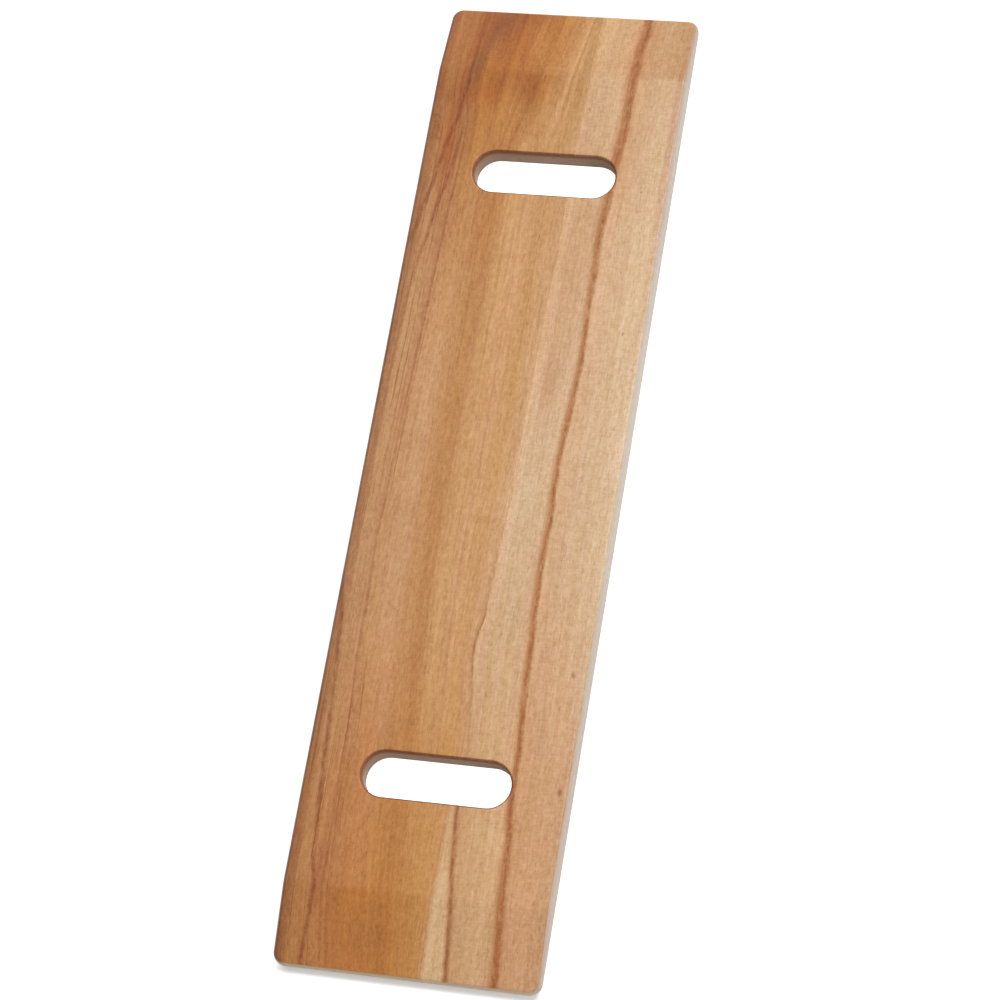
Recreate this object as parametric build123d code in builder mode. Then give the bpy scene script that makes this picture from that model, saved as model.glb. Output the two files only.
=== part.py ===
from build123d import *
import math
import os

os.makedirs("parts", exist_ok=True)

# Wooden transfer board: a flat bridge between a wheelchair and a bed or seat,
# made of two staves glued edge to edge.
# Frame: millimetres, origin at the middle of the underside, +X along the
# length towards the head end, +Y across the width, +Z up out of the top face.

# ---- overall board ----
LENGTH = 798.0            # along X
WIDTH = 203.0             # along Y
THICKNESS = 19.0          # along Z
CORNER_RADIUS = 9.0       # plan radius at the four corners
EDGE_EASE = 3.0           # round-over where the faces meet the sides and ends

# ---- bevelled ends, top face only ----
BEVEL_LENGTH = 60.0       # along X, from each end
BEVEL_DROP = 11.0         # how far the top face falls at the very end
BEVEL_BLEND = 25.0        # radius that softens the bevel's arris
CUT_OVERRUN = 10.0        # how far the bevel cut runs past the end and the top

# ---- hand slots ----
SLOT_OFFSET = 250.0       # slot centre from the middle of the board
SLOT_LENGTH = 114.5       # overall, across the board
SLOT_WIDTH = 35.0         # wall to wall, along the board
SLOT_EASE = 2.2           # round-over on the rims of the slots

# ---- joint between the staves ----
# It leans a little, so the narrow stave is wider at the foot end.
JOINT_Y_HEAD = -24.2      # Y of the joint at the head end (+X)
JOINT_Y_FOOT = -12.9      # Y of the joint at the foot end (-X)
GLUE_FILM = 0.15          # thickness of the dried adhesive

# ---- tolerances for picking edges ----
LEVEL_TOL = 0.01          # an edge lies at a given height, or runs level
OUTLINE_TOL = 0.5         # an edge centre lies on a side or within a slot
END_REACH = 6.0           # takes in the corner arcs along with the end edges


def on_outline(edge):
    """True for edges along the sides, ends and corners of the board."""
    center = edge.center()
    return (
        abs(abs(center.Y) - WIDTH / 2) < OUTLINE_TOL
        or abs(abs(center.X) - LENGTH / 2) < END_REACH
    )


def on_slot_rim(edge):
    """True for level edges round a slot, on the top face or the underside."""
    center = edge.center()
    return (
        abs(abs(center.X) - SLOT_OFFSET) < SLOT_WIDTH / 2 + OUTLINE_TOL
        and abs(center.Y) < SLOT_LENGTH / 2 + OUTLINE_TOL
        and (abs(center.Z) < LEVEL_TOL or abs(center.Z - THICKNESS) < LEVEL_TOL)
        and abs(edge.tangent_at(0.5).Z) < LEVEL_TOL
    )


def make_board():
    """The whole board, shaped as one before it is divided at the joint."""
    bevel_start = LENGTH / 2 - BEVEL_LENGTH
    cut_end = LENGTH / 2 + CUT_OVERRUN
    cut_top = THICKNESS + CUT_OVERRUN
    cut_low = THICKNESS - BEVEL_DROP * (1 + CUT_OVERRUN / BEVEL_LENGTH)

    with BuildPart() as board:
        with BuildSketch(Plane.XY):
            RectangleRounded(LENGTH, WIDTH, CORNER_RADIUS)
        extrude(amount=THICKNESS)

        # a wedge comes off the top face at each end
        for side in (1, -1):
            with BuildSketch(Plane.XZ):
                with BuildLine():
                    Polyline(
                        (side * bevel_start, THICKNESS),
                        (side * cut_end, cut_low),
                        (side * cut_end, cut_top),
                        (side * bevel_start, cut_top),
                        close=True,
                    )
                make_face()
            extrude(amount=WIDTH, both=True, mode=Mode.SUBTRACT)

        # soft arris between the flat and each bevel
        arris = board.edges().filter_by(Axis.Y).filter_by_position(
            Axis.Z, THICKNESS - LEVEL_TOL, THICKNESS + LEVEL_TOL
        )
        fillet(arris, radius=BEVEL_BLEND)

        # outer round-overs; the upward faces are the flat, blends and bevels
        upward_faces = board.faces().filter_by(lambda face: face.normal_at().Z > 0.9)
        top_rim = upward_faces.edges().filter_by(on_outline)
        bottom_rim = board.faces().sort_by(Axis.Z)[0].edges()
        fillet(list(top_rim) + list(bottom_rim), radius=EDGE_EASE)

        # two hand slots, lying across the board
        with BuildSketch(Plane.XY):
            with Locations((SLOT_OFFSET, 0), (-SLOT_OFFSET, 0)):
                SlotOverall(SLOT_LENGTH, SLOT_WIDTH, rotation=90)
        extrude(amount=THICKNESS, mode=Mode.SUBTRACT)
        fillet(board.edges().filter_by(on_slot_rim), radius=SLOT_EASE)
    return board.part


def joint_plane(offset):
    """Upright plane along the joint, moved by offset towards +Y."""
    lean = math.atan2(JOINT_Y_HEAD - JOINT_Y_FOOT, LENGTH)
    across = Vector(-math.sin(lean), math.cos(lean), 0)
    return Plane(
        origin=Vector(0, (JOINT_Y_HEAD + JOINT_Y_FOOT) / 2, 0) + across * offset,
        x_dir=(math.cos(lean), math.sin(lean), 0),
        z_dir=across,
    )


def cut_board(board, *cuts):
    """What is left of the board after each (plane, side to keep) cut."""
    with BuildPart() as piece:
        add(board)
        for plane, keep in cuts:
            split(bisect_by=plane, keep=keep)
    return piece.part


def make_strip(solid):
    """One strip of the glue film as a part of its own."""
    with BuildPart() as strip:
        add(solid)
    return strip.part


board = make_board()
broad_side = joint_plane(GLUE_FILM / 2)
narrow_side = joint_plane(-GLUE_FILM / 2)

# Keep.TOP is the +Y side of a joint plane, Keep.BOTTOM the -Y side
pieces = {
    "stave_broad": cut_board(board, (broad_side, Keep.TOP)),
    "stave_narrow": cut_board(board, (narrow_side, Keep.BOTTOM)),
}

# the slots cut the glue film into three strips, sorted from foot to head
film = cut_board(board, (broad_side, Keep.BOTTOM), (narrow_side, Keep.TOP))
for place, solid in zip(("foot", "middle", "head"), film.solids().sort_by(Axis.X)):
    pieces[f"glue_line_{place}"] = make_strip(solid)

for name, part in pieces.items():
    part.label = name
    export_step(part, f"parts/{name}.step")
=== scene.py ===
# A board of two lacquered beech staves, glued edge to edge, with a slot near each end.
# It lies flat: X along it (head end at +X, foot end at -X), Y across it, worked face up (+Z).
# Both ends of the worked face are bevelled.
import math

import bpy
from mathutils import Matrix, Vector


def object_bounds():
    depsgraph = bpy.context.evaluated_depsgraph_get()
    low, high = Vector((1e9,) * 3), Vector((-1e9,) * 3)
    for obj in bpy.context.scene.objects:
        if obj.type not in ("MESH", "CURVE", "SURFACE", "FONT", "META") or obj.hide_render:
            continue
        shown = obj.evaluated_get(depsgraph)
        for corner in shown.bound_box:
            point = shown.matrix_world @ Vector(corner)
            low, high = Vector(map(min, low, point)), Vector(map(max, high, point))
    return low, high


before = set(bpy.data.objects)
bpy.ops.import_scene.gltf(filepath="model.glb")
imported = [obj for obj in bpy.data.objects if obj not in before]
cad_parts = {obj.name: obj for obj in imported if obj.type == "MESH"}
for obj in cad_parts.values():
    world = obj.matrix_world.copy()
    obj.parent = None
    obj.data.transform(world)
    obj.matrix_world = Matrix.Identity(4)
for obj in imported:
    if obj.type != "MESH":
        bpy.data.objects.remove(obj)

LO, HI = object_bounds()

# ------------------------------------------------------------------ sizes of the board, in mm
LENGTH = (HI.x - LO.x) * 1000.0
WIDTH = (HI.y - LO.y) * 1000.0
THICK = (HI.z - LO.z) * 1000.0
BEVEL_LENGTH, BEVEL_DROP = 60.0, 11.0
ARRIS = LENGTH / 2 - BEVEL_LENGTH  # x at which a bevel starts
SLOT_OFFSET, SLOT_LENGTH, SLOT_WIDTH = 250.0, 114.5, 35.0
OUTER_X = (380.0, 388.0)  # |x| over which a turned face becomes an end of the board
OUTER_Y = (85.0, 92.0)  # |y| over which it becomes a side


def lin(red, green, blue):
    """sRGB 0-255 to a linear colour."""
    out = []
    for c in (red, green, blue):
        c /= 255.0
        out.append(c / 12.92 if c <= 0.04045 else ((c + 0.055) / 1.055) ** 2.4)
    return (*out, 1.0)


# ------------------------------------------------------------------ a small node-graph writer
class Value:
    """An output socket. Each arithmetic step on it adds one node."""

    def __init__(self, graph, socket):
        self.graph, self.socket = graph, socket

    def __add__(self, other):
        return self.graph.math("ADD", self, other)

    def __radd__(self, other):
        return self.graph.math("ADD", other, self)

    def __sub__(self, other):
        return self.graph.math("SUBTRACT", self, other)

    def __rsub__(self, other):
        return self.graph.math("SUBTRACT", other, self)

    def __mul__(self, other):
        return self.graph.math("MULTIPLY", self, other)

    def __truediv__(self, other):
        return self.graph.math("DIVIDE", self, other)

    def __abs__(self):
        return self.graph.math("ABSOLUTE", self)

    def mad(self, factor, offset):
        """self * factor + offset, in one node."""
        return self.graph.math("MULTIPLY_ADD", self, factor, offset)

    def ramp(self, start, end, out=(0.0, 1.0), smooth=True):
        """Runs from out[0] at start to out[1] at end, clamped."""
        n = self.graph.node(
            "ShaderNodeMapRange",
            interpolation_type="SMOOTHSTEP" if smooth else "LINEAR",
            clamp=True,
        )
        names = ("Value", "From Min", "From Max", "To Min", "To Max")
        for name, v in zip(names, (self, start, end, *out)):
            self.graph.put(n.inputs[name], v)
        return self.graph.out(n)

    def fade(self, full, gone):
        """1 up to full, falling to 0 at gone."""
        return self.ramp(full, gone, out=(1.0, 0.0))

    def band(self, start, full, still_full, end):
        """0 outside start..end, 1 between full and still_full."""
        return self.ramp(start, full) * self.fade(still_full, end)


class Graph:
    def __init__(self, tree):
        self.tree = tree

    def node(self, kind, **props):
        n = self.tree.nodes.new(kind)
        for k, v in props.items():
            setattr(n, k, v)
        return n

    def out(self, node, socket=0):
        return Value(self, node.outputs[socket])

    def put(self, socket, v):
        if isinstance(v, Value):
            self.tree.links.new(v.socket, socket)
        else:
            socket.default_value = v

    def fill(self, kind, *values, **props):
        """A node with its first inputs filled in order."""
        n = self.node(kind, **props)
        for socket, v in zip(n.inputs, values):
            self.put(socket, v)
        return self.out(n)

    def math(self, operation, *values):
        return self.fill("ShaderNodeMath", *values, operation=operation)

    def hypot(self, a, b):
        return self.math("SQRT", a * a + b * b)

    def xyz(self, x, y, z):
        return self.fill("ShaderNodeCombineXYZ", x, y, z)

    def split(self, vector):
        n = self.node("ShaderNodeSeparateXYZ")
        self.put(n.inputs[0], vector)
        return [self.out(n, i) for i in range(3)]

    def coords(self, kind):
        return self.out(self.node("ShaderNodeTexCoord"), kind)

    def object_mm(self):
        """x, y and z of the object's own space, in mm."""
        n = self.node("ShaderNodeVectorMath", operation="SCALE")
        self.put(n.inputs[0], self.coords("Object"))
        n.inputs[3].default_value = 1000.0
        return self.split(self.out(n))

    def noise(self, x, y, z, detail=2.0, rough=0.5):
        n = self.node("ShaderNodeTexNoise", noise_dimensions="3D", normalize=True)
        self.put(n.inputs["Vector"], self.xyz(x, y, z))
        n.inputs["Scale"].default_value = 1.0
        n.inputs["Detail"].default_value = detail
        n.inputs["Roughness"].default_value = rough
        n.inputs["Distortion"].default_value = 0.0
        return self.out(n)

    def cells(self, x, y, z):
        """Distance to the nearest cell centre, and that cell's random colour."""
        n = self.node("ShaderNodeTexVoronoi", voronoi_dimensions="3D", feature="F1")
        self.put(n.inputs["Vector"], self.xyz(x, y, z))
        n.inputs["Scale"].default_value = 1.0
        n.inputs["Randomness"].default_value = 1.0
        return self.out(n, "Distance"), self.out(n, "Color")

    def mix(self, amount, a, b, blend="MIX"):
        n = self.node("ShaderNodeMix", data_type="RGBA", blend_type=blend, clamp_factor=True)
        for i, v in ((0, amount), (6, a), (7, b)):
            self.put(n.inputs[i], v)
        return self.out(n, 2)

    def mix_value(self, amount, a, b):
        n = self.node("ShaderNodeMix", data_type="FLOAT", clamp_factor=True)
        for i, v in ((0, amount), (2, a), (3, b)):
            self.put(n.inputs[i], v)
        return self.out(n)

    def curve(self, v, points):
        """A smooth curve through (0..1, 0..1) points."""
        n = self.node("ShaderNodeFloatCurve")
        c = n.mapping.curves[0]
        points = sorted(points)
        c.points[0].location = points[0]
        c.points[1].location = points[-1]
        for p in points[1:-1]:
            c.points.new(*p)
        for p in c.points:
            p.handle_type = "AUTO_CLAMPED"
        n.mapping.update()
        n.inputs["Factor"].default_value = 1.0
        self.put(n.inputs["Value"], v)
        return self.out(n)

    def colours(self, v, stops):
        """A colour ramp through (place, sRGB) stops."""
        n = self.node("ShaderNodeValToRGB")
        ramp = n.color_ramp
        ramp.interpolation = "EASE"
        while len(ramp.elements) > 1:
            ramp.elements.remove(ramp.elements[-1])
        first = ramp.elements[0]
        first.position, first.color = stops[0][0], lin(*stops[0][1])
        for place, rgb in stops[1:]:
            ramp.elements.new(place).color = lin(*rgb)
        self.put(n.inputs[0], v)
        return self.out(n)

    def bump(self, height, strength, distance):
        n = self.node("ShaderNodeBump")
        n.inputs["Strength"].default_value = strength
        n.inputs["Distance"].default_value = distance
        self.put(n.inputs["Height"], height)
        return self.out(n)

    def surface(self, settings):
        """A Principled shader, wired to the material output."""
        shader = self.node("ShaderNodeBsdfPrincipled")
        for name, v in settings.items():
            self.put(shader.inputs[name], v)
        output = self.node("ShaderNodeOutputMaterial")
        self.put(output.inputs["Surface"], self.out(shader))


def blank_material(name):
    mat = bpy.data.materials.new(name)
    mat.use_nodes = True
    mat.node_tree.nodes.clear()
    return mat


# ------------------------------------------------------------------ where the figure of the wood runs
# Each course is a line of the grain on the worked face: (place along, 0..1 from the head
# end; place across, 0..1 from the -Y side). SPAN lets a course leave the board and come back.
SPAN_LO, SPAN = -0.2, 1.5
COURSES = {
    "streak": (
        (0, 0.198), (0.0166, 0.1945), (0.0366, 0.2068), (0.0631, 0.2087), (0.0952, 0.2097),
        (0.128, 0.2101), (0.1619, 0.2208), (0.2175, 0.23), (0.2503, 0.239), (0.284, 0.2345),
        (0.3187, 0.2334), (0.3697, 0.2282), (0.4306, 0.2352), (0.479, 0.246), (0.5155, 0.2477),
        (0.5402, 0.2417), (0.5826, 0.2463), (0.6249, 0.2412), (0.6701, 0.2332), (0.7153, 0.2268),
        (0.7605, 0.2149), (0.7879, 0.2092), (0.8363, 0.2059), (0.8604, 0.1933), (0.8844, 0.1874),
        (0.9265, 0.1803), (1, 0.1676),
    ),
    "line2": (
        (0.3089, 0.3916), (0.5068, 0.4026), (0.5857, 0.4193), (0.6251, 0.4223), (0.6556, 0.429),
        (0.6724, 0.4405), (0.6852, 0.4448), (0.7038, 0.4369), (0.7249, 0.4232), (0.7519, 0.4137),
        (0.7882, 0.4017), (0.8426, 0.4004), (0.8666, 0.3925), (0.8969, 0.3818), (0.9268, 0.3654),
        (0.9552, 0.3592), (1, 0.3482),
    ),
    "bound": (
        (0, 0.3815), (0.0792, 0.3815), (0.14, 0.3875), (0.2111, 0.393), (0.3089, 0.399),
        (0.4, 0.404), (0.4916, 0.4084), (0.5675, 0.4192), (0.613, 0.423), (0.6556, 0.429),
        (0.6724, 0.4405), (0.6852, 0.4448), (0.7038, 0.4369), (0.7249, 0.4232), (0.7519, 0.4181),
        (0.7882, 0.4166), (0.8427, 0.4274), (0.897, 0.4333), (1, 0.4398),
    ),
    "golden_1": (
        (0, 0.4286), (0.0421, 0.4568), (0.0792, 0.4842), (0.1101, 0.5057), (0.138, 0.5335),
        (0.1699, 0.577), (0.2594, 0.6034), (0.4081, 0.6031), (0.6056, 0.6029), (0.7826, 0.5683),
        (0.9001, 0.5242), (1, 0.5026),
    ),
    "golden_2": (
        (0, 0.5674), (0.0421, 0.5904), (0.0793, 0.6095), (0.1251, 0.6475), (0.162, 0.6781),
        (0.2594, 0.6921), (0.3586, 0.6869), (0.5071, 0.6865), (0.6254, 0.6696), (0.7139, 0.6468),
        (0.7729, 0.6222), (0.8513, 0.6123), (0.9293, 0.5749), (1, 0.5468),
    ),
    "fine_a": (
        (0, 0.8454), (0.0154, 0.8497), (0.0822, 0.8654), (0.1072, 0.8623), (0.1281, 0.8455),
        (0.162, 0.8424), (0.2048, 0.8481), (0.2356, 0.8539), (0.3091, 0.8615), (0.3702, 0.8701),
        (0.4311, 0.8787), (0.492, 0.8833), (0.5527, 0.8865), (0.5833, 0.8898), (0.6257, 0.8827),
        (0.6857, 0.88), (0.7467, 0.8664), (0.8072, 0.8593), (0.8495, 0.8591), (0.8826, 0.8546),
        (0.9124, 0.851), (0.9561, 0.8403), (1, 0.8192),
    ),
    "fine_b": (
        (0, 0.8533), (0.0154, 0.8586), (0.0822, 0.8684), (0.1072, 0.8772), (0.1251, 0.8825),
        (0.1501, 0.9046), (0.175, 0.9218), (0.1988, 0.9335), (0.2237, 0.9507), (0.2511, 0.9673),
        (0.2665, 0.9781), (0.3588, 1.0071), (0.5074, 1.0259), (0.6061, 1.0057), (0.6652, 0.9709),
        (0.7144, 0.951), (0.7846, 0.9359), (0.8285, 0.9239), (0.8734, 0.91), (0.9008, 0.902),
        (0.9252, 0.8814), (0.9487, 0.8853), (1, 0.8929),
    ),
    "fine_c": (
        (0, 0.8156), (0.1102, 0.8505), (0.1929, 0.8768), (0.2237, 0.8993), (0.2476, 0.9106),
        (0.2844, 0.9336), (0.3271, 0.9501), (0.4084, 0.9625), (0.5073, 0.9688), (0.606, 0.9663),
        (0.7046, 0.9756), (0.852, 1.0238), (1, 1.0576),
    ),
}

# Tones across the board at three stations: (ring number, sRGB). Rings: 0 = -Y side, 0.2 = dark
# streak, 0.4 = where pale wood meets golden, 0.58 and 0.68 = the golden bands,
# 0.86 = fine line, 1 = +Y side.
TONES_HEAD = (
    (0, (199, 151, 108)), (0.1, (205, 158, 115)), (0.18, (206, 152, 109)),
    (0.24, (217, 166, 126)), (0.32, (211, 167, 124)), (0.38, (221, 174, 133)),
    (0.4, (208, 159, 106)), (0.42, (193, 141, 89)), (0.5, (202, 149, 97)),
    (0.58, (207, 151, 98)), (0.63, (194, 129, 65)), (0.68, (184, 114, 46)),
    (0.74, (180, 107, 40)), (0.8, (186, 108, 40)), (0.86, (176, 101, 39)),
    (0.91, (176, 110, 56)), (0.96, (181, 115, 61)), (1, (172, 107, 56)),
)
TONES_MIDDLE = (
    (0, (240, 207, 174)), (0.06, (227, 190, 154)), (0.12, (224, 184, 148)),
    (0.18, (225, 181, 142)), (0.24, (225, 185, 149)), (0.3, (221, 183, 146)),
    (0.36, (227, 188, 152)), (0.395, (233, 188, 148)), (0.405, (217, 167, 124)),
    (0.46, (213, 159, 106)), (0.54, (216, 161, 113)), (0.6, (212, 158, 105)),
    (0.66, (199, 140, 87)), (0.68, (197, 138, 83)), (0.72, (204, 147, 95)),
    (0.78, (214, 160, 117)), (0.84, (208, 152, 106)), (0.87, (202, 146, 102)),
    (0.93, (203, 150, 104)), (0.97, (197, 142, 96)), (1, (181, 127, 86)),
)
TONES_FOOT = (
    (0, (218, 167, 124)), (0.1, (221, 166, 122)), (0.18, (216, 159, 114)),
    (0.24, (226, 177, 133)), (0.3, (219, 170, 123)), (0.36, (213, 160, 113)),
    (0.398, (215, 163, 115)), (0.41, (209, 148, 93)), (0.47, (212, 149, 84)),
    (0.56, (205, 142, 74)), (0.64, (204, 137, 72)), (0.7, (200, 128, 58)),
    (0.78, (202, 126, 56)), (0.84, (190, 118, 58)), (0.88, (200, 132, 75)),
    (0.95, (191, 128, 72)), (1, (181, 118, 68)),
)
GAIN = (0.875, 0.875, 0.81)  # albedo of the wood under the lacquer, against the tones above

# Soft oval patches: place along from the head end, place across from the -Y side (both 0..1),
# half length and half width in mm, angle in radians.
AMBER_PATCH = (0.08, 0.65, 40, 42, 0.25)
PAINTED_PATCHES = (  # patch, amount, colour; the last two are paler tongues
    ((0.016, 0.785, 38, 19, -0.25), 0.9, (145, 78, 36)),
    ((0.072, 0.85, 40, 9, -0.15), 0.6, (150, 88, 48)),
    ((0.0, 0.68, 30, 28, 0), 0.6, (154, 88, 38)),
    ((0.965, 0.66, 34, 30, 0), 0.45, (172, 106, 56)),
    ((0.79, 0.7, 40, 14, 0), 0.35, (176, 119, 70)),
    ((0.13, 0.68, 50, 17, 0.1), 0.75, (203, 139, 76)),
    ((0.044, 0.605, 38, 14, 0.2), 0.55, (203, 137, 74)),
)
WASHES = (  # patch, tint that multiplies the wood
    ((0.28, 0.335, 210, 22, 0), (244, 229, 216)),
    ((0.41, 0.338, 45, 9, 0), (246, 234, 228)),
    ((0.13, 0.362, 75, 7, 0), (244, 240, 238)),
    ((0.17, 0.2, 95, 26, 0), (248, 240, 232)),
    ((0.25, 0.25, 90, 11, 0), (244, 240, 230)),
    ((0.055, 0.8, 45, 16, -0.25), (238, 247, 255)),
    ((0.127, 0.78, 80, 26, 0), (251, 244, 205)),
    ((0.124, 0.572, 62, 14, 0.25), (241, 235, 214)),
    ((0.01, 0.675, 50, 18, 0), (246, 236, 224)),
    ((0.23, 0.79, 200, 15, 0), (250, 249, 220)),
    ((0.155, 0.905, 80, 12, 0), (243, 210, 170)),
    ((0.913, 0.872, 45, 8, 0), (232, 214, 214)),
)
PIN_KNOTS = (  # along, across, radius in mm
    (0.8135, 0.035, 1.5), (0.70, 0.058, 1.1), (0.352, 0.085, 0.8), (0.2, 0.105, 0.7),
)
FINE_LINES = (  # course, half width and soft edge in mm, tint, strength from foot 0 to head 1
    ("fine_a", 0.2, 1.5, (214, 186, 160), [
        (0, 0.55), (0.1, 0.6), (0.2, 0.45), (0.4, 0.65), (0.6, 0.75), (0.8, 0.7),
        (0.9, 0.55), (0.95, 0.4), (1, 0.3)]),
    ("fine_b", 0.3, 2.6, (200, 162, 136), [
        (0, 0.95), (0.1, 0.85), (0.25, 0.8), (0.35, 0.7), (0.5, 0), (0.7, 0),
        (0.76, 0.75), (0.88, 0.8), (0.93, 0.6), (1, 0.3)]),
    ("fine_c", 0.3, 2.2, (208, 172, 146), [
        (0, 0), (0.3, 0), (0.45, 0.3), (0.6, 0.35), (0.68, 0.6), (0.8, 0.8),
        (0.86, 0.4), (0.9, 0), (1, 0)]),
)


# ------------------------------------------------------------------ the wood
class Wood(Graph):
    """The wood both staves are sawn from; each step below works on self.colour.

    u runs 0..1 along the board (1 = head end), a 0..1 across it from the -Y side.
    Noise scales are cycles per mm; distances are mm. Noises are centred by taking off 0.5.
    lean tilts the rings with depth; the other settings are strengths of one feature each.
    """

    def __init__(self, tree, lean, seed, fleck, linen, mottle, rough, ringed, banded):
        super().__init__(tree)
        self.seed, self.fleck, self.linen, self.mottle = seed, fleck, linen, mottle
        self.rough, self.ringed, self.banded = rough, ringed, banded
        self.x, self.y, self.z = self.object_mm()
        normal = self.out(self.node("ShaderNodeNewGeometry"), "Normal")
        self.nx, self.ny, self.nz = self.split(normal)
        # depth below the worked face, bevels included
        past_arris = self.math("MAXIMUM", abs(self.x) - ARRIS, 0.0)
        self.depth = past_arris.mad(-BEVEL_DROP / BEVEL_LENGTH, THICK) - self.z
        # slow wander of the rings, so that nothing runs ruler-straight
        wander = self.noise(self.x * 0.012, self.y.mad(0.02, seed), self.z * 0.05)
        tremble = self.noise(
            self.x.mad(0.07, seed), self.y * 0.1, self.z * 0.2, detail=3.0, rough=0.6)
        sideways = (wander - 0.5).mad(1.2, (tremble - 0.5) * 1.6)
        self.yy = self.depth.mad(lean, self.y) + sideways
        self.u = self.x.mad(1.0 / LENGTH, 0.5)
        self.a = self.yy.mad(1.0 / WIDTH, 0.5)
        self.lines = {
            name: self.along([(1.0 - p, (q - SPAN_LO) / SPAN) for p, q in points]).mad(
                SPAN, SPAN_LO)
            for name, points in COURSES.items()
        }
        self.rings = self.ring_number()
        self.line2_gap = self.gap("line2")

        # noises shared by several steps
        self.figure = self.noise(
            self.x * 0.005, self.rings.mad(34.0, seed), self.depth * 0.1, detail=3.0, rough=0.55)
        self.clouds = self.streaks(0.016, 0.045, 0.05, detail=3.0, rough=0.55) - 0.5
        self.fibre = self.streaks(0.03, 0.62, 0.62, detail=4.0, rough=0.65)
        self.fine = self.streaks(0.1, 1.9, 1.9, detail=3.0, rough=0.6)
        self.grain = self.streaks(0.23, 0.5, 0.5, detail=3.0, rough=0.62)
        # short silvery bars lying across the grain
        self.ripple = self.streaks(0.75, 0.13, 0.2, detail=2.0, rough=0.6)
        # rag and nib pull drawn lines sideways and break them up
        self.rag = self.steady_noise(0.13, 0.3, 0.3, detail=4.0, rough=0.7)
        self.nib = self.steady_noise(0.4, 0.9, 0.5, detail=3.0, rough=0.7)
        self.pull = (self.rag - 0.5) * 4.2 + (self.nib - 0.5) * 2.2
        self.worn = (self.rag * 0.6 + self.nib * 0.4).ramp(0.36, 0.6)

    # ---- places
    def along(self, points):
        """A value that changes along the board: (0 foot .. 1 head, value)."""
        return self.curve(self.u, points)

    def gap(self, line):
        """Signed distance from a course, in mm, + towards +Y."""
        return (self.a - self.lines[line]) * WIDTH

    def ring_number(self):
        """0 on the -Y side, 1 on the +Y side, fixed values on the courses."""
        steps = [(0.0, 0.0)]
        for ring, line in (
            (0.2, "streak"), (0.4, "bound"), (0.58, "golden_1"), (0.68, "golden_2"),
            (0.86, "fine_a"),
        ):
            steps.append((ring, self.lines[line]))
        steps.append((1.0, 1.0))
        total = 0.0
        for (ring, place), (next_ring, next_place) in zip(steps[:-1], steps[1:]):
            step = self.a.ramp(place, next_place, out=(0.0, next_ring - ring), smooth=False)
            total = total + step
        return total

    def from_spot(self, y, along, across, unit_x=1.0, unit_y=1.0):
        """Offsets from a spot on the board, in units given in mm."""
        return (
            self.x.mad(1.0 / unit_x, -(0.5 - along) * LENGTH / unit_x),
            y.mad(1.0 / unit_y, -(across - 0.5) * WIDTH / unit_y),
        )

    def patch(self, along, across, long_mm, wide_mm, angle):
        """1 in the middle of a soft oval patch, 0 outside it."""
        dx, dy = self.from_spot(self.yy, along, across)
        c, s = math.cos(angle), math.sin(angle)
        px = (dx * c + dy * s) * (1.0 / long_mm)
        py = (dy * c - dx * s) * (1.0 / wide_mm)
        return self.hypot(px, py).fade(0.0, 1.0)

    # ---- noises
    def streaks(self, along, across, deep, detail, rough):
        """Noise that wanders with the rings."""
        return self.noise(
            self.x * along, self.yy.mad(across, self.seed), self.z * deep, detail, rough)

    def ring_noise(self, along, per_ring, detail, rough, shift=0.0):
        return self.noise(
            self.x * along, self.rings.mad(per_ring, self.seed + shift), 0.0, detail, rough)

    def steady_noise(self, along, across, deep, detail, rough):
        """Noise that is the same for both woods."""
        return self.noise(self.x * along, self.y * across, self.z * deep, detail, rough)

    # ---- changes of colour
    def paint(self, amount, rgb):
        self.colour = self.mix(amount, self.colour, lin(*rgb))

    def tinted(self, rgb):
        return self.mix(1.0, self.colour, lin(*rgb), "MULTIPLY")

    def darken(self, amount, tint):
        """Mixes towards the colour multiplied by an sRGB tint."""
        self.colour = self.mix(amount, self.colour, self.tinted(tint))

    def multiply(self, factors):
        self.colour = self.fill(
            "ShaderNodeVectorMath", self.colour, factors, operation="MULTIPLY")

    # ---- the steps
    def tones(self):
        """Tones follow the rings, and blend from the middle to the head and foot tones."""
        feather = self.streaks(0.03, 0.7, 0.5, detail=3.0, rough=0.6)
        ring = self.rings + (self.figure - 0.5) * 0.03
        ring = ring + (feather - 0.5) * 0.012
        golden = self.rings.ramp(0.37, 0.46)
        # each pair: share of the end tones in the pale wood, then in the golden wood
        head = self.mix_value(
            golden,
            self.along([
                (0, 0), (0.68, 0), (0.8, 0.08), (0.88, 0.22), (0.925, 0.4), (1, 0.5)]),
            self.along([
                (0, 0), (0.55, 0), (0.67, 0.08), (0.76, 0.36), (0.84, 0.48), (0.88, 0.66),
                (0.905, 0.92), (1, 1)]),
        )
        foot = self.mix_value(
            golden,
            self.along([
                (0, 0.98), (0.07, 0.96), (0.12, 0.93), (0.19, 0.84), (0.28, 0.54),
                (0.37, 0.24), (0.46, 0), (1, 0)]),
            self.along([
                (0, 0.85), (0.07, 0.82), (0.11, 0.76), (0.19, 0.62), (0.28, 0.28),
                (0.4, 0), (1, 0)]),
        )
        # the bevels take the end tones in full, from a slightly wavy arris
        waver = (self.noise(0.0, self.y * 0.06, 0.0, detail=3.0) - 0.5) * 3.0
        on_head = (self.x + waver).ramp(ARRIS - 2.5, ARRIS + 3.5)
        on_foot = (waver - self.x).ramp(ARRIS - 3.0, ARRIS + 3.0)
        head = self.mix_value(on_head, head, 1.0)
        foot = self.mix_value(on_foot, foot, 1.0)
        self.colour = self.colours(ring, TONES_MIDDLE)
        for share, stops in ((head, TONES_HEAD), (foot, TONES_FOOT)):
            # the share swings with the clouds where it is neither 0 nor 1
            swung = share + share * (1.0 - share) * (self.clouds * 3.0)
            self.colour = self.mix(swung, self.colour, self.colours(ring, stops))

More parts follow.
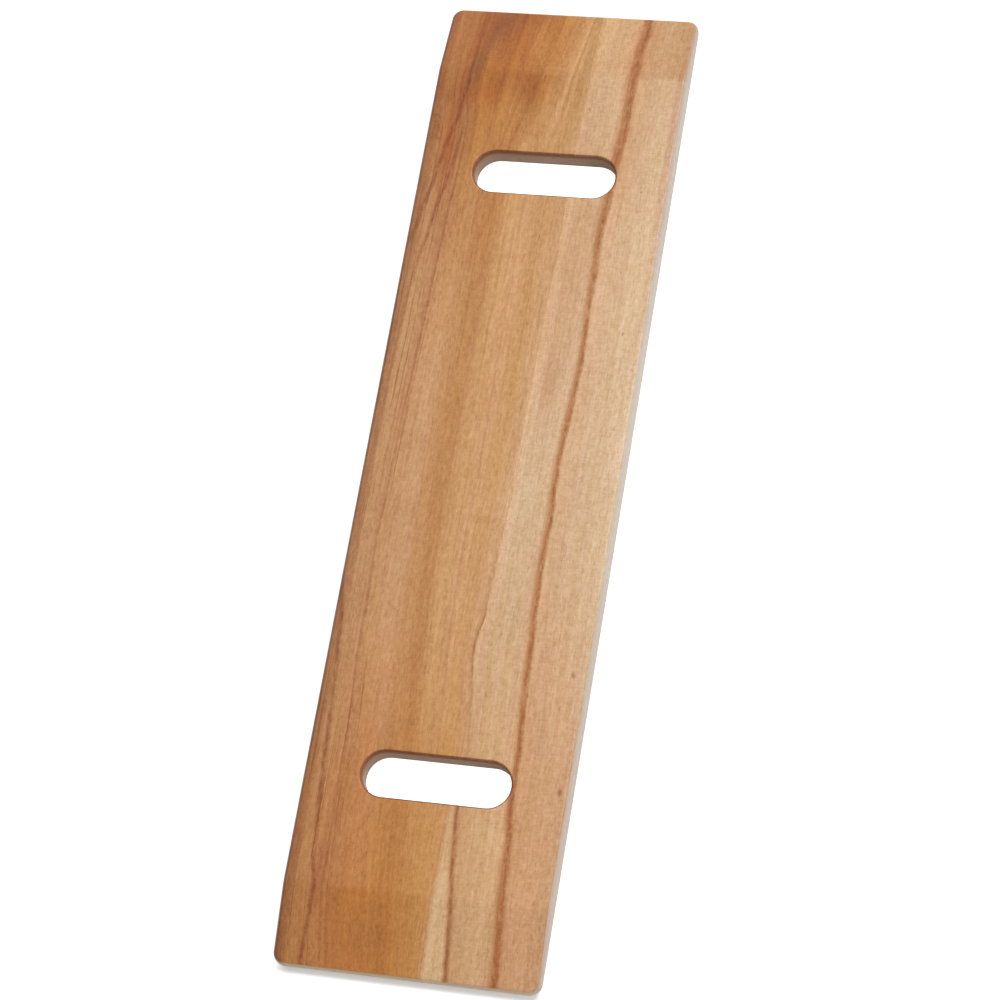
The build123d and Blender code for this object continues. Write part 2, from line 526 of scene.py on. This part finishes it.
    def patches(self):
        # pale wedge between the second line and the golden wood, foot end
        wedge = self.line2_gap.ramp(0.5, 3.0) * self.gap("bound").fade(-1.5, 0.5)
        wedge = wedge * self.along([
            (0, 1), (0.06, 0.95), (0.12, 0.7), (0.2, 0.35), (0.22, 0), (1, 0)])
        self.paint(wedge, (230, 187, 143))
        # amber heartwood, which stops at the head bevel
        amber = self.patch(*AMBER_PATCH) * self.x.ramp(ARRIS + 2.0, ARRIS - 2.0)
        self.paint(amber * 0.9, (178, 105, 42))
        for patch, amount, rgb in PAINTED_PATCHES:
            self.paint(self.patch(*patch) * amount, rgb)
        for patch, tint in WASHES:
            self.darken(self.patch(*patch), tint)

    def grain_tones(self):
        """Lightness of fibres, bands and rings."""
        bands = self.ring_noise(0.0035, 60.0, detail=2.0, rough=0.6)
        pencil = self.ring_noise(0.006, 120.0, detail=2.0, rough=0.55)
        strength = self.along([
            (0, 1.25), (0.12, 1.15), (0.3, 1), (0.6, 0.95), (0.78, 1.15), (0.9, 1.5), (1, 1.4)])
        # at the head end the golden rings fan out in broad flames
        flames = self.ring_noise(0.006, 27.0, detail=2.0, rough=0.5)
        fan = self.u.ramp(0.74, 0.95) * self.rings.ramp(0.42, 0.5)
        tone = 1.0
        for swing, amount in (
            (self.fibre - 0.5, 0.36 * self.rough),
            (self.fine - 0.5, 0.34 * self.rough),
            (self.grain - 0.5, self.mottle),
            ((bands - 0.5) * strength, self.banded),
            (self.figure - 0.5, 0.2),
            (self.clouds, 0.2),
            (self.ripple - 0.5, self.linen),
            ((flames - 0.5) * fan, 1.15),
        ):
            tone = swing.mad(amount, tone)
        # powers for red, green and blue: blue falls and rises more than red
        self.multiply(self.xyz(*(self.math("POWER", tone, e) for e in (0.72, 1.05, 1.6))))
        # thin darker rings, fainter away from the first fine line (the 0.0 term adds nothing)
        near_line = self.lines["fine_a"].ramp(0.0, 1.0).mad(
            0.0, self.gap("fine_a").ramp(-14.0, 0.0, out=(0.25, 1.0)))
        rings = pencil.ramp(0.56, 0.72) * strength
        self.darken(rings * near_line * self.ringed, (222, 196, 172))

    def hue_drift(self):
        """Hue drifts a little towards pink or straw."""
        hue = self.noise(
            self.x.mad(0.05, self.seed), self.yy * 0.14, self.z * 0.1, detail=3.0, rough=0.6)
        blush = self.ring_noise(0.004, 34.0, detail=3.0, rough=0.6, shift=5.0)
        drift = (blush - 0.5).mad(0.4, (hue - 0.5) * 0.3)
        self.multiply(self.xyz(1.0 + drift * 0.12, 1.0 - drift * 0.12, 1.0 + drift * 0.6))

    def flecks(self):
        """Short dark dashes along the grain: many small ones, then a few larger."""
        near, pick = self.cells(self.x.mad(0.2, self.seed), self.yy * 0.8, self.z * 0.3)
        self.dash = near.fade(0.05, 0.42) * self.split(pick)[0].ramp(0.45, 0.95)
        self.darken(self.dash * self.fleck, (204, 170, 140))
        near, pick = self.cells(self.x.mad(0.09, self.seed + 7.0), self.yy * 0.4, self.z * 0.2)
        large = near.fade(0.04, 0.22) * self.split(pick)[1].ramp(0.78, 0.95)
        self.darken(large * self.fleck, (180, 144, 114))

    def drawn_lines(self):
        rag, nib, worn, pull = self.rag, self.nib, self.worn, self.pull
        # dark streak: soft brown halo leaning towards +Y, with a ragged core and a thread
        spread = self.along([
            (0, 0.5), (0.08, 0.5), (0.2, 0.42), (0.4, 0.42), (0.6, 0.4), (0.75, 0.5),
            (0.88, 0.7), (1, 0.62)])
        off = (self.gap("streak") + pull * 0.55) / (spread * 2.0)
        halo = off.band(-4.2, -2.0, 3.0, 6.6)
        core = off.band(-3.1, -1.3, 1.9, 4.0)
        thread = (off + (nib - 0.5) * 1.8).band(-1.3, -0.3, 0.5, 1.5)
        self.darken(halo * rag.mad(0.8, 0.3), (236, 218, 196))
        self.darken(core * worn.mad(0.4, 0.42), (219, 184, 150))
        self.darken(thread * worn.mad(0.55, 0.0), (220, 182, 150))
        # second line: halo and core
        show = self.along([
            (0, 0.95), (0.16, 0.9), (0.215, 0.5), (0.25, 0.25), (0.285, 0.3), (0.312, 0.85),
            (0.35, 0.7), (0.42, 0.35), (0.5, 0.12), (0.6, 0), (1, 0)])
        spread = self.along([
            (0, 0.62), (0.1, 0.58), (0.2, 0.5), (0.24, 0.36), (0.5, 0.3), (1, 0.3)])
        off = (self.line2_gap + pull * 0.4) / (spread * 2.0)
        self.darken(off.band(-3.2, -0.9, 1.2, 3.6) * show * rag.mad(0.6, 0.3), (222, 196, 170))
        self.darken(off.band(-1.6, -0.4, 0.4, 1.6) * show * worn.mad(0.6, 0.25), (204, 168, 136))
        # fine lines near the +Y side
        for name, half, soft, tint, run in FINE_LINES:
            line = abs(self.gap(name) + pull * 0.32).fade(half, half + soft)
            self.darken(line * self.along(run) * worn.mad(0.7, 0.35), tint)

    def edge_marks_and_shade(self):
        # a small curl of grain at the +Y edge
        cx, cy = self.from_spot(self.y, 0.142, 0.955, unit_x=15.0, unit_y=4.5)
        radius = self.hypot(cx, cy + cx * -0.8) + (self.rag - 0.5) * 0.5
        curl = self.math("SINE", radius * 11.0).ramp(0.0, 0.9) * radius.fade(0.5, 1.3)
        self.darken(curl * 0.36, (208, 168, 134))
        # painted shade: a brownish darkening along the outermost strip on the +Y side, where the
        # eased edge turns away from the light
        self.darken(self.a.ramp(0.945, 0.975) * self.rag.mad(0.5, 0.3), (214, 190, 172))
        # painted shade close to the -Y side, strongest near the head end: it dims the highlight on
        # the -Y eased edge
        run = self.along([
            (0, 0.25), (0.5, 0.25), (0.65, 0.4), (0.75, 0.7), (0.8, 0.95), (0.9, 0.95),
            (0.93, 0.5), (1, 0.1)])
        self.darken(self.a.fade(0.026, 0.052) * (self.rag.mad(0.8, 0.5) * run), (231, 215, 212))
        for along, across, knot in PIN_KNOTS:
            dx, dy = self.from_spot(self.y, along, across)
            dx = dx * 0.55  # longer along the grain
            radius = self.math("SQRT", dx * dx + dy * dy + self.nib * 0.3)
            self.darken(radius.ramp(knot * 0.3, knot * 1.9, out=(0.6, 0.0)), (160, 112, 80))

    def cut_faces(self):
        """Sides, ends and slot walls, paler and greyer than the worked face: on the outer sides and
        ends partly a painted reflection of the pale floor, partly the paler sanded wood; the slot
        walls, slot rims and long eased edges carry painted shade.
        """
        side = abs(self.nz).fade(0.2, 0.75)
        outer = self.math("MAXIMUM", abs(self.x).ramp(*OUTER_X), abs(self.y).ramp(*OUTER_Y))
        turned = abs(self.nz).fade(0.6, 0.97)
        # painted shade on the long eased edges, dimming the key light's highlight there
        long_edge_shade = abs(self.ny).ramp(0.05, 0.3) * abs(self.y).ramp(*OUTER_Y)
        self.darken(abs(self.nz).ramp(0.998, 0.96) * long_edge_shade, (222, 228, 240))
        # outer sides and ends washed pale grey: partly a painted reflection of the pale floor, partly
        # the paler sanded wood
        self.paint(turned * outer * 0.66, (186, 176, 172))
        # painted shade on the slot walls: darker at the top, lighter further down where light bounced
        # off the floor would reach
        slot_wall_shade = self.mix(self.depth.ramp(3.0, 15.0), lin(180, 138, 110), lin(190, 173, 162))
        self.colour = self.mix(side * (1.0 - outer) * 0.8, self.colour, slot_wall_shade)
        # painted shade round the slot rims, where the rounded top of each wall turns away from the
        # light
        px = abs(self.x) - SLOT_OFFSET
        py = self.math("MAXIMUM", abs(self.y) - (SLOT_LENGTH - SLOT_WIDTH) / 2, 0.0)
        out_of_slot = self.hypot(px, py) - SLOT_WIDTH / 2
        slot_rim_shade = out_of_slot.fade(1.6, 3.0) * self.depth.fade(2.5, 6.5)
        slot_rim_shade = slot_rim_shade * self.nz.ramp(0.995, 0.9)
        self.darken(slot_rim_shade * 0.78, (162, 118, 90))
        # end grain: pores and ring ends instead of fibres
        pores = self.noise(
            self.x * 0.2, self.y.mad(2.6, self.seed), self.z * 2.6, detail=4.0, rough=0.7)
        ring_ends = self.noise(0.0, self.yy.mad(0.9, self.seed), self.z * 0.25)
        ends = abs(self.nx).ramp(0.5, 0.95)
        ends = ends * abs(self.x).ramp(LENGTH / 2 - 6.0, LENGTH / 2 - 3.0)
        end_grain = self.mix(
            (pores * 0.6 + ring_ends * 0.4).ramp(0.42, 0.6),
            self.tinted((206, 188, 170)),
            self.tinted((240, 232, 222)),
        )
        # the end grain is washed toward pale cream, which paints the reflection of the pale
        # surroundings
        end_grain = self.mix(0.68, end_grain, lin(231, 208, 177))
        self.colour = self.mix(ends, self.colour, end_grain)

    def eased_edge(self):
        return abs(self.nz).fade(0.93, 0.99)

    def lacquer(self):
        """Shine and relief; the lacquer is thinner on the eased edges."""
        self.multiply(GAIN)
        thin = self.eased_edge() * abs(self.nz).ramp(0.02, 0.15)
        smear = self.steady_noise(0.02, 0.035, 0.1, detail=3.0, rough=0.6)
        # the lacquer sinks a little into the grain, so some relief is left
        height = (self.fibre * 0.4 + self.fine * 0.3) + (
            self.grain * 0.5 + self.ripple * (self.linen * 1.5))
        height = self.dash.mad(-0.35, height)
        self.surface({
            "Base Color": self.colour,
            "Roughness": self.eased_edge().mad(0.14, (self.grain - 0.5).mad(0.3, 0.46)),
            "IOR": 1.5,
            "Specular IOR Level": 0.3,
            "Coat Weight": thin.mad(-0.5, 0.7),
            "Coat IOR": 1.5,
            "Coat Roughness": smear.mad(0.14, 0.22),
            "Normal": self.bump(height, strength=0.5, distance=0.00018),
            "Coat Normal": self.bump(height + smear * 1.2, strength=0.5, distance=0.00008),
        })


def wood(name, **look):
    mat = blank_material(name)
    w = Wood(mat.node_tree, **look)
    w.tones()
    w.patches()
    w.grain_tones()
    w.hue_drift()
    w.flecks()
    w.drawn_lines()
    w.edge_marks_and_shade()
    w.cut_faces()
    w.lacquer()
    return mat


def dried_glue():
    mat = blank_material("dried_wood_glue")
    graph = Graph(mat.node_tree)
    x, y, z = graph.object_mm()
    lumps = graph.noise(x * 0.3, y * 2.0, z * 0.6, detail=3.0)
    graph.surface({
        "Base Color": graph.mix(lumps, lin(150, 104, 66), lin(190, 142, 98)),
        "Roughness": lumps.mad(0.3, 0.35),
        "Coat Weight": 0.7,
        "Coat Roughness": 0.28,
        "Normal": graph.bump(lumps, strength=0.4, distance=0.0001),
    })
    return mat


GOLD = wood(
    "golden_beech_lacquered", lean=1.2, seed=11.7,
    fleck=0.35, linen=0.24, mottle=0.8, rough=1.45, ringed=1.0, banded=0.46,
)
LIGHT = wood(
    "light_beech_lacquered", lean=-0.8, seed=3.1,
    fleck=0.5, linen=0.38, mottle=0.66, rough=1.2, ringed=0.7, banded=0.3,
)
GLUE = dried_glue()
for name, mat, slot in (
    ("stave_broad", GOLD, "golden_beech"),
    ("stave_narrow", LIGHT, "light_beech"),
    ("glue_line_head", GLUE, "dried_glue"),
    ("glue_line_middle", GLUE, "dried_glue"),
    ("glue_line_foot", GLUE, "dried_glue"),
):
    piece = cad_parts[name]
    piece.data.materials.clear()
    piece.data.materials.append(mat)


# ------------------------------------------------------------------ floor, in metres
def pale_floor():
    """Glows for the camera alone: stays white, yet doesn't light the wood from below. It glows more
    under the board, painted light that shows the slots white instead of shaded, and on the +Y side,
    painted light that washes out the board's shadow; in front of the foot end it dips into a painted
    contact shadow.
    """
    mat = blank_material("pale_floor")
    graph = Graph(mat.node_tree)
    x, y, _ = graph.split(graph.coords("Object"))
    # painted light: extra glow under the board, so the floor seen through the slots shows white
    # instead of shadow
    under = abs(x).fade(HI.x - 0.03, HI.x - 0.012) * abs(y).fade(HI.y - 0.03, HI.y - 0.012)
    # painted light: extra glow on the +Y side, washing out the board's shadow there
    far_side = y.ramp(0.09, 0.103) * x.ramp(-0.44, -0.41)
    # in front of the foot end the glow is lowered into a short, soft painted contact shadow, then
    # raised past it
    foot_zone = x.ramp(LO.x + 0.004, LO.x) * abs(y).ramp(HI.y + 0.002, HI.y - 0.004)
    foot_shadow_and_glow = foot_zone * x.ramp(LO.x - 0.0018, LO.x - 0.0068).mad(0.6, -0.2)
    glow = far_side.mad(0.35, under.mad(0.6, 0.4)) + foot_shadow_and_glow
    seen = graph.out(graph.node("ShaderNodeLightPath"), "Is Camera Ray")
    graph.surface({
        "Base Color": (0.82, 0.82, 0.82, 1),
        "Roughness": 0.7,
        "Specular IOR Level": 0.1,
        "Emission Color": (1, 1, 1, 1),
        "Emission Strength": seen * glow,
    })
    return mat


FLOOR_SIZE, FLOOR_GAP = 12.0, 0.0006
floor_material = pale_floor()
bpy.ops.mesh.primitive_plane_add(size=FLOOR_SIZE, location=(0, 0, LO.z - FLOOR_GAP))
floor = bpy.context.object
floor.name = "floor"
floor.data.materials.append(floor_material)

# ------------------------------------------------------------------ light
# a pale sweep all round: brighter near the horizon than overhead
WORLD_TOP, WORLD_LOW = 0.40, 0.78  # strength overhead, and what the horizon adds
world = bpy.data.worlds.new("studio")
bpy.context.scene.world = world
world.use_nodes = True
background = world.node_tree.nodes["Background"]
background.inputs[0].default_value = (1.0, 1.0, 1.0, 1)
sky = Graph(world.node_tree)
low = sky.split(sky.coords("Generated"))[2].fade(0.0, 0.75)
sky.put(background.inputs[1], (low * low).mad(WORLD_LOW, WORLD_TOP))


def area(name, location, size, power):
    """A rectangular light aimed at the middle of the board."""
    light = bpy.data.lights.new(name, "AREA")
    light.shape = "RECTANGLE"
    light.size, light.size_y = size
    light.energy = power
    lamp = bpy.data.objects.new(name, light)
    lamp.location = location
    lamp.rotation_mode = "QUATERNION"
    lamp.rotation_quaternion = (-Vector(location)).to_track_quat("-Z", "Y")
    bpy.context.scene.collection.objects.link(lamp)


area("key", location=(3.2, -1.9, 3.6), size=(2.2, 2.0), power=185.0)
area("fill", location=(-0.6, -3.0, 1.2), size=(2.4, 1.2), power=29.0)

# ------------------------------------------------------------------ camera, above the foot end
CAMERA_PLACE = (-0.91859443, -0.63426669, 2.40901976)
CAMERA_AXES = (
    (0.16393661, -0.96778061, -0.19111641),  # right
    (0.92611482, 0.08426354, 0.36771046),  # up
    (-0.33975891, -0.23727695, 0.91008985),  # back, away from the view
)
camera_data = bpy.data.cameras.new("camera")
camera = bpy.data.objects.new("camera", camera_data)
bpy.context.scene.collection.objects.link(camera)
pose = Matrix(CAMERA_AXES).transposed().to_4x4()
pose.translation = Vector(CAMERA_PLACE)
camera.matrix_world = pose
camera_data.sensor_width = 36.0
camera_data.lens = 124.3778796
camera_data.clip_start, camera_data.clip_end = 0.05, 50.0
bpy.context.scene.camera = camera
bpy.context.scene.view_settings.view_transform = "Standard"
bpy.context.scene.view_settings.look = "None"
